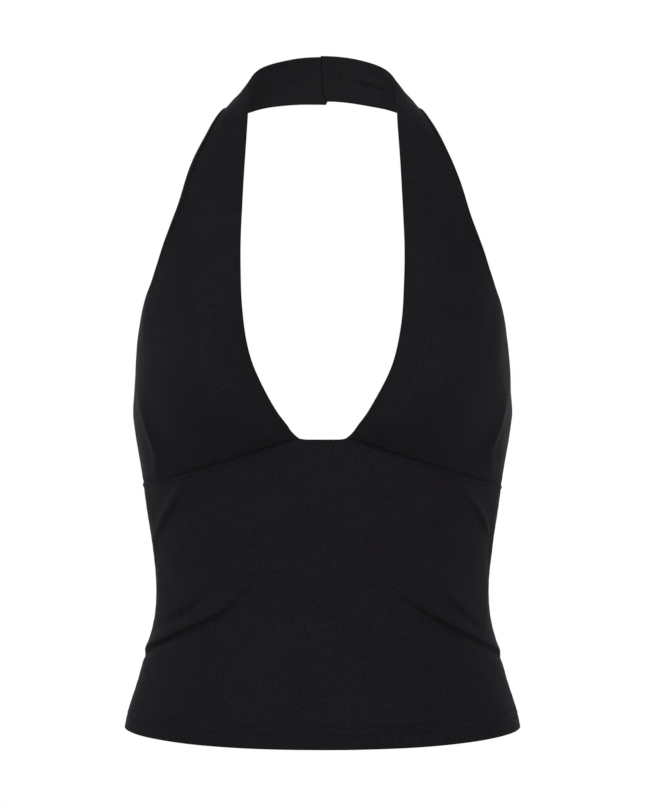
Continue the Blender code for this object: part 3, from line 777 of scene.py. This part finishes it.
def needle_stitches(name, outer, normal, material):
    """Two rows of short threads lying in the grooves of the hem."""
    ring = np.arange(THREAD_SIDES) * 2 * np.pi / THREAD_SIDES
    points, faces, total = [], [], 0
    for height in NEEDLE_ROWS:
        row = HEM_STEPS.index(height)
        centres, ahead, at, run = spaced_along(outer[row], STITCH_PITCH)
        up = unit(read_off(normal[row], run, at))
        across = np.cross(ahead, up)
        for t in np.linspace(-1.0, 1.0, STITCH_RINGS):
            thickness = THREAD_RADIUS * np.sqrt(1.0 - (STITCH_TAPER * t) ** 2)
            lift = THREAD_RADIUS * (STITCH_LIFT - STITCH_DIVE * t**4)
            middle = centres + ahead * (t * STITCH_LENGTH / 2) + up * lift
            for angle in ring:
                points.append(middle + thickness * (up * np.cos(angle) + across * np.sin(angle)))
        per = STITCH_RINGS * THREAD_SIDES
        faces += tube_faces(total, len(centres), per)
        total += per * len(centres)
        block = np.array(points[-per:]).transpose(1, 0, 2).reshape(-1, 3)
        points = points[:-per] + [block]
    mesh = bpy.data.meshes.new(name)
    mesh.from_pydata(place(np.concatenate(points)), [], faces)
    mesh.shade_smooth()
    mesh.materials.append(material)
    return add_piece(name, mesh)


def tube_faces(first, count, per):
    """Faces of closed tubes, each of STITCH_RINGS rings of THREAD_SIDES points."""
    sides = range(THREAD_SIDES)
    one = [
        (r * THREAD_SIDES + k, r * THREAD_SIDES + (k + 1) % THREAD_SIDES,
         (r + 1) * THREAD_SIDES + (k + 1) % THREAD_SIDES, (r + 1) * THREAD_SIDES + k)
        for r in range(STITCH_RINGS - 1) for k in sides
    ]
    one.append(tuple(reversed(sides)))
    one.append(tuple(per - THREAD_SIDES + k for k in sides))
    return [tuple(first + n * per + k for k in face) for n in range(count) for face in one]


def looper_thread(name, inner, normal, material):
    """The zigzag thread that covers the hem's raw edge inside."""
    ends = []
    for height in NEEDLE_ROWS:
        row = HEM_STEPS.index(height)
        here, _, at, run = spaced_along(inner[row], STITCH_PITCH)
        ends.append(here - read_off(normal[row], run, at) * LOOPER_RADIUS)
    count = min(len(e) for e in ends)
    zigzag = np.stack([ends[0][:count], ends[1][:count]], axis=1).reshape(-1, 3)
    curve = bpy.data.curves.new(name, "CURVE")
    curve.dimensions = "3D"
    curve.bevel_depth = LOOPER_RADIUS * MM
    curve.bevel_resolution = 1
    curve.use_fill_caps = True
    spline = curve.splines.new("POLY")
    spline.points.add(len(zigzag) - 1)
    flat = np.concatenate([place(zigzag), np.ones((len(zigzag), 1))], axis=1)
    spline.points.foreach_set("co", flat.ravel())
    curve.materials.append(material)
    return add_piece(name, curve)


# ---------------- materials
BLACK_DARK = (0.0068, 0.0063, 0.0073, 1.0)
BLACK_LIGHT = (0.0168, 0.0157, 0.0181, 1.0)
WRONG_DARK = (0.0096, 0.0092, 0.0103, 1.0)
WRONG_LIGHT = (0.0216, 0.0206, 0.0230, 1.0)
CAST_PURPLE = (1.06, 0.96, 1.01, 1.0)
CAST_GREEN = (0.95, 1.03, 0.99, 1.0)
CAST_CONTRAST = 2.2
THREAD_DARK = (0.004, 0.004, 0.005, 1.0)
THREAD_LIGHT = (0.011, 0.011, 0.013, 1.0)
FLOOR_DARK = (0.80, 0.80, 0.79, 1.0)
FLOOR_LIGHT = (0.86, 0.86, 0.85, 1.0)

Noise = namedtuple("Noise", "scale detail roughness")
FUZZ = Noise(2600.0, 3.0, 0.5)
GRAIN = Noise(620.0, 4.0, 0.6)
CLOUD = Noise(34.0, 3.0, 0.55)
CAST = Noise(90.0, 2.0, 0.5)
SPECKLE = Noise(9.0, 4.0, 0.5)

WALE = 0.00055  # metres from one column of the knit to the next, and from one row to the next
COURSE = 0.00042
HALF_TURN = 3.14159
LEG_SLANT = 1.6  # how steeply a loop's legs run, in rows across a column
LEG_ROUNDNESS = 0.6  # under 1 rounds the tops of the legs
LOOP_SHARE = 0.55  # this share of the knit's height comes and goes with the rows
SHADE_OF_GRAIN = 1.7  # the shade goes from dark to light by these shares of each,
SHADE_OF_CLOUD = 0.3
SHADE_OF_KNIT = 0.25
SHADE_FROM = 0.6  # less this
ROUGHNESS = 0.74
ROUGHNESS_OF_GRAIN = 0.18
HEIGHT_OF_FUZZ = 0.5  # of the relief, beside the knit's 1
HEIGHT_OF_GRAIN = 0.6
KNIT_STRENGTH = 0.6
KNIT_DEPTH = 0.07  # in millimetres, as the next
PLY_DEPTH = 0.05
PLY_STRENGTH = 0.5


def set_inputs(node, values):
    for name, value in values.items():
        node.inputs[name].default_value = value


def new_material(name):
    material = bpy.data.materials.new(name)
    material.use_nodes = True
    nodes, links = material.node_tree.nodes, material.node_tree.links
    return material, nodes, links, nodes["Principled BSDF"]


def math_node(nodes, links, operation, *values):
    node = nodes.new("ShaderNodeMath")
    node.operation = operation
    for socket, value in zip(node.inputs, values):
        if isinstance(value, (int, float)):
            socket.default_value = value
        else:
            links.new(value, socket)
    return node.outputs[0]


def noise(nodes, links, vector, kind):
    node = nodes.new("ShaderNodeTexNoise")
    set_inputs(node, {"Scale": kind.scale, "Detail": kind.detail, "Roughness": kind.roughness})
    links.new(vector, node.inputs["Vector"])
    return node.outputs["Fac"]


def mixed(nodes, links, blend, share, first, second):
    node = nodes.new("ShaderNodeMix")
    node.data_type = "RGBA"
    node.blend_type = blend
    for socket, value in (("Factor", share), ("A", first), ("B", second)):
        if isinstance(value, (int, float, tuple)):
            node.inputs[socket].default_value = value
        else:
            links.new(value, node.inputs[socket])
    return node.outputs["Result"]


def give_relief(nodes, links, shader, height, strength, depth):
    """Bumps of a depth in millimetres, where the height goes from 0 to 1."""
    relief = nodes.new("ShaderNodeBump")
    set_inputs(relief, {"Strength": strength, "Distance": depth * MM})
    links.new(height, relief.inputs["Height"])
    links.new(relief.outputs["Normal"], shader.inputs["Normal"])


def jersey(name, dark, light, across, upward):
    """Fine black single jersey: soft mottling, a short fuzz, and rows of stitches at two spacings:
    columns of Vs on the right side and, with the two spacings exchanged, ridges on the wrong
    one."""
    material, nodes, links, shader = new_material(name)
    calc = lambda *given: math_node(nodes, links, *given)

    cloth = nodes.new("ShaderNodeUVMap")
    cloth.uv_map = CLOTH_MAP
    parts = nodes.new("ShaderNodeSeparateXYZ")
    links.new(cloth.outputs["UV"], parts.inputs["Vector"])
    solid = nodes.new("ShaderNodeTexCoord").outputs["Object"]

    first, wale = across
    second, course = upward
    column = calc("FRACT", calc("DIVIDE", parts.outputs[first], wale))
    from_middle = calc("ABSOLUTE", calc("SUBTRACT", column, 0.5))
    leg = calc("ABSOLUTE", calc("SUBTRACT", calc("MULTIPLY", from_middle, 4.0), 1.0))
    leg = calc("POWER", calc("SUBTRACT", 1.0, leg), LEG_ROUNDNESS)
    row = calc("DIVIDE", parts.outputs[second], course)
    slanted = calc("ADD", row, calc("MULTIPLY", from_middle, LEG_SLANT))
    loop = calc("ABSOLUTE", calc("SINE", calc("MULTIPLY", slanted, HALF_TURN)))
    knit = calc("ADD", 1.0 - LOOP_SHARE, calc("MULTIPLY", loop, LOOP_SHARE))
    knit = calc("MULTIPLY", leg, knit)

    fuzz, grain, cloud, cast = [
        noise(nodes, links, solid, kind) for kind in (FUZZ, GRAIN, CLOUD, CAST)
    ]
    shade = calc("MULTIPLY", grain, SHADE_OF_GRAIN)
    shade = calc("ADD", shade, calc("MULTIPLY", cloud, SHADE_OF_CLOUD))
    shade = calc("ADD", shade, calc("MULTIPLY", knit, SHADE_OF_KNIT))
    colour = mixed(nodes, links, "MIX", calc("SUBTRACT", shade, SHADE_FROM), dark, light)
    cast = calc("MULTIPLY", calc("SUBTRACT", cast, 0.5), CAST_CONTRAST)
    tint = mixed(nodes, links, "MIX", calc("ADD", cast, 0.5), CAST_PURPLE, CAST_GREEN)
    colour = mixed(nodes, links, "MULTIPLY", 1.0, colour, tint)
    links.new(colour, shader.inputs["Base Color"])
    rough = calc("ADD", ROUGHNESS, calc("MULTIPLY", grain, ROUGHNESS_OF_GRAIN))
    links.new(rough, shader.inputs["Roughness"])

    height = calc("ADD", knit, calc("MULTIPLY", fuzz, HEIGHT_OF_FUZZ))
    height = calc("ADD", height, calc("MULTIPLY", grain, HEIGHT_OF_GRAIN))
    give_relief(nodes, links, shader, height, KNIT_STRENGTH, KNIT_DEPTH)
    set_inputs(shader, {
        "Specular IOR Level": 0.01,
        "Sheen Weight": 0.03,
        "Sheen Roughness": 0.42,
        "Sheen Tint": (0.80, 0.84, 1.0, 1.0),
    })
    return material


def thread(name):
    """Black polyester thread: two plies twisted round each other."""
    material, nodes, links, shader = new_material(name)
    plies = nodes.new("ShaderNodeTexWave")
    plies.bands_direction = "DIAGONAL"
    set_inputs(plies, {"Scale": 900.0, "Distortion": 1.5})
    links.new(nodes.new("ShaderNodeTexCoord").outputs["Object"], plies.inputs["Vector"])
    colour = mixed(nodes, links, "MIX", plies.outputs["Fac"], THREAD_DARK, THREAD_LIGHT)
    links.new(colour, shader.inputs["Base Color"])
    give_relief(nodes, links, shader, plies.outputs["Fac"], PLY_STRENGTH, PLY_DEPTH)
    set_inputs(shader, {"Roughness": 0.7, "Specular IOR Level": 0.06})
    return material


# ---------------- camera, light and floor (metres)
SENSOR = 36.0
FRAME_HEIGHT = 807
PIXEL = 0.7200  # millimetres in the side seams' plane
CAMERA_DISTANCE = 2285.0  # in the drafting frame, as the next two
CAMERA_HEIGHT = 296.0
FRAME_CENTRE_HEIGHT = 236.4

Lamp = namedtuple("Lamp", "name x y z width height power colour", defaults=[(1.0, 1.0, 1.0)])
LAMPS = [
    Lamp("front", 0.0, -2.2, 0.35, 2.0, 1.0, 25.5, (1.0, 0.965, 0.985)),
    Lamp("front_top", 0.0, -1.2, 0.55, 1.2, 0.7, 6.8, (0.93, 1.0, 1.0)),
    Lamp("top_left", -1.4, -0.5, 1.3, 1.0, 1.0, 7.5, (0.86, 0.96, 1.0)),
    Lamp("left", -2.0, -0.5, -0.3, 1.0, 1.6, 6.0),
    Lamp("right", 2.0, -0.5, -0.3, 1.0, 1.6, 7.0),
    Lamp("left_back", -1.5, 0.9, -0.4, 0.6, 1.6, 9.0),
    Lamp("right_back", 1.5, 0.9, -0.4, 0.6, 1.6, 11.0),
    Lamp("back_top", 0.0, 1.5, 1.5, 1.6, 1.0, 40.0, (0.94, 0.97, 1.0)),
    Lamp("back", 0.0, 2.2, -0.1, 2.2, 2.0, 60.0),
]
AIM = (0.0, -0.06, -0.22)  # all lamps point here
AMBIENT = 0.08
WHITE = (1.0, 1.0, 1.0, 1.0)
FLOOR_Z = -1.38  # the wearer's nape is this high above the ground
FLOOR_SIZE = 3.0


def point_at(thing, target):
    aim = Vector(target) - thing.location
    thing.rotation_euler = aim.to_track_quat("-Z", "Y").to_euler()


def camera():
    data = bpy.data.cameras.new("camera")
    data.sensor_width = SENSOR
    data.lens = SENSOR * CAMERA_DISTANCE / (PIXEL * FRAME_HEIGHT)
    eye = add_piece("camera", data)
    eye.location = place([0.0, -CAMERA_DISTANCE, CAMERA_HEIGHT])
    point_at(eye, place([0.0, 0.0, FRAME_CENTRE_HEIGHT]))
    bpy.context.scene.camera = eye


def softbox(lamp):
    data = bpy.data.lights.new(lamp.name, "AREA")
    data.shape = "RECTANGLE"
    data.size, data.size_y = lamp.width, lamp.height
    data.energy = lamp.power
    data.color = lamp.colour
    box = add_piece(lamp.name, data)
    box.location = lamp.x, lamp.y, lamp.z
    point_at(box, AIM)


def studio():
    """White all round, dimmer as a light than as a background, with soft lamps and a pale floor."""
    world = bpy.data.worlds.new("studio")
    bpy.context.scene.world = world
    world.use_nodes = True
    nodes, links = world.node_tree.nodes, world.node_tree.links
    lit = nodes["Background"]
    set_inputs(lit, {"Color": WHITE, "Strength": AMBIENT})
    seen = nodes.new("ShaderNodeBackground")
    set_inputs(seen, {"Color": WHITE})
    either = nodes.new("ShaderNodeMixShader")
    links.new(nodes.new("ShaderNodeLightPath").outputs["Is Camera Ray"], either.inputs["Fac"])
    links.new(lit.outputs[0], either.inputs[1])
    links.new(seen.outputs[0], either.inputs[2])
    links.new(either.outputs[0], nodes["World Output"].inputs["Surface"])

    for lamp in LAMPS:
        softbox(lamp)

    mesh = bpy.data.meshes.new("floor")
    h = FLOOR_SIZE / 2
    corners = [(-h, -h, FLOOR_Z), (h, -h, FLOOR_Z), (h, h, FLOOR_Z), (-h, h, FLOOR_Z)]
    mesh.from_pydata(corners, [], [(0, 1, 2, 3)])
    plaster, nodes, links, shader = new_material("pale_floor")
    solid = nodes.new("ShaderNodeTexCoord").outputs["Object"]
    speckle = noise(nodes, links, solid, SPECKLE)
    colour = mixed(nodes, links, "MIX", speckle, FLOOR_DARK, FLOOR_LIGHT)
    links.new(colour, shader.inputs["Base Color"])
    set_inputs(shader, {"Roughness": 0.9})
    mesh.materials.append(plaster)
    add_piece("floor", mesh)


# ---------------- building
# the cut of each sheet before it is stretched, in millimetres
Cut = namedtuple("Cut", "width length area")
CUTS = {
    "front_body": Cut(352.0, 220.0, 64000.0),
    "back_body": Cut(352.0, 230.0, 68000.0),
    "halter_left": Cut(155.0, 420.0, 30300.0),
    "halter_right": Cut(155.0, 420.0, 30300.0),
}


def main():
    cloth = [
        jersey("black_jersey", BLACK_DARK, BLACK_LIGHT, ("X", WALE), ("Y", COURSE)),
        jersey("black_jersey_wrong_side", WRONG_DARK, WRONG_LIGHT, ("Y", COURSE), ("X", WALE)),
    ]
    yarn = thread("black_thread")
    made = {
        "front_body": body_panel("front_cloth", -90.0, 90.0, seam_height, FRONT_ROWS, cloth),
        "back_body": body_panel("back_cloth", 90.0, 270.0, back_top, BACK_ROWS, cloth),
        "halter_right": halter_panel("halter_right_cloth", 1, cloth),
        "halter_left": halter_panel("halter_left_cloth", -1, cloth),
    }
    for node, (piece, _, _) in made.items():
        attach(piece, "root")
        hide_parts(node)
    hems = {}
    for node in ("front_body", "back_body"):
        _, outer, inner = made[node]
        normal = outward(outer)
        stitches = needle_stitches(node + "_hem_stitches", outer, normal, yarn)
        looper = looper_thread(node + "_hem_looper", inner, normal, yarn)
        hems[node] = [stitches, looper]
        for piece in hems[node]:
            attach(piece, "root")
    for node, cut in CUTS.items():
        piece = made[node][0]


camera()
studio()
main()
bpy.context.scene.view_settings.view_transform = "Standard"
